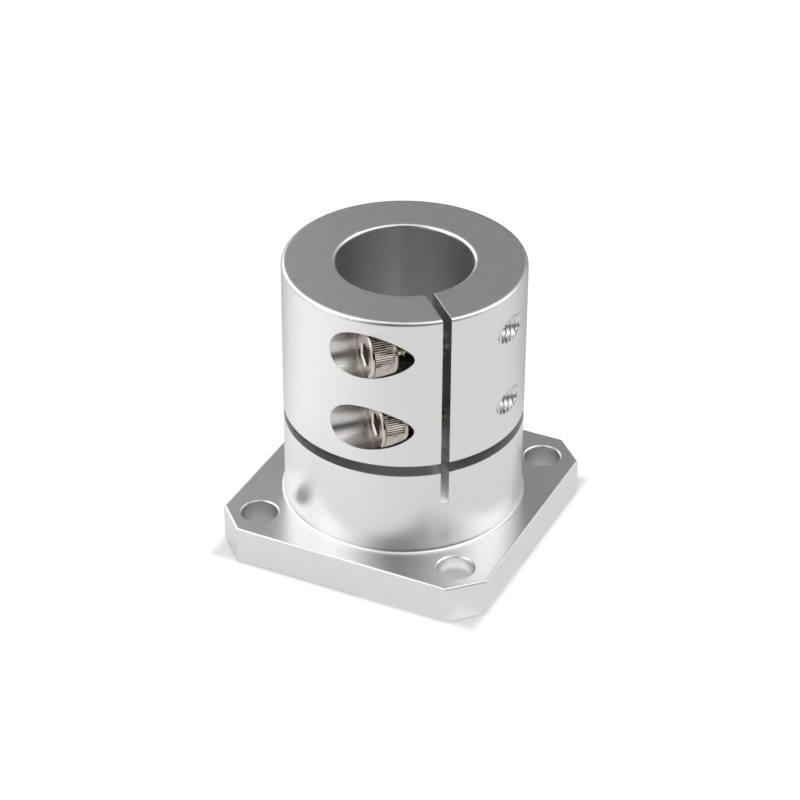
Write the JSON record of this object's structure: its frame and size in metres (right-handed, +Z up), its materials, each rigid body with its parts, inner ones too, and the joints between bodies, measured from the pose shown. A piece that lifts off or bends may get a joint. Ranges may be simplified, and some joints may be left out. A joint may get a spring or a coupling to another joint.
{
  "type": "shaft support block",
  "caption": "Flanged shaft support: a bored sleeve on a square flange, with a split collar that side screws close on the shaft.",
  "frame": {"origin": "centre of the bore at the flange's underside", "axes": "+Z up along the bore; X and Y along the flange's edges; the sleeve's split faces +X -Y"},
  "size_m": [0.043, 0.043, 0.045],
  "materials": {
    "anodised_aluminium": "clear anodised over a fine blasted surface, satin",
    "nickel_plated_steel": "bright nickel plate over a straight knurled head"
  },
  "bodies": {
    "block": {"support_block": "anodised_aluminium"},
    "upper_screw": {"upper_clamp_screw": "nickel_plated_steel"},
    "lower_screw": {"lower_clamp_screw": "nickel_plated_steel"}
  },
  "joints": [
    {"name": "upper_screw_travel", "type": "slide", "parent": "block", "child": "upper_screw", "axis": [-0.7071, -0.7071, 0], "range_m": [-0.00245, 0.0046]},
    {"name": "lower_screw_travel", "type": "slide", "parent": "block", "child": "lower_screw", "axis": [-0.7071, -0.7071, 0], "range_m": [-0.00085, 0.0062]}
  ]
}
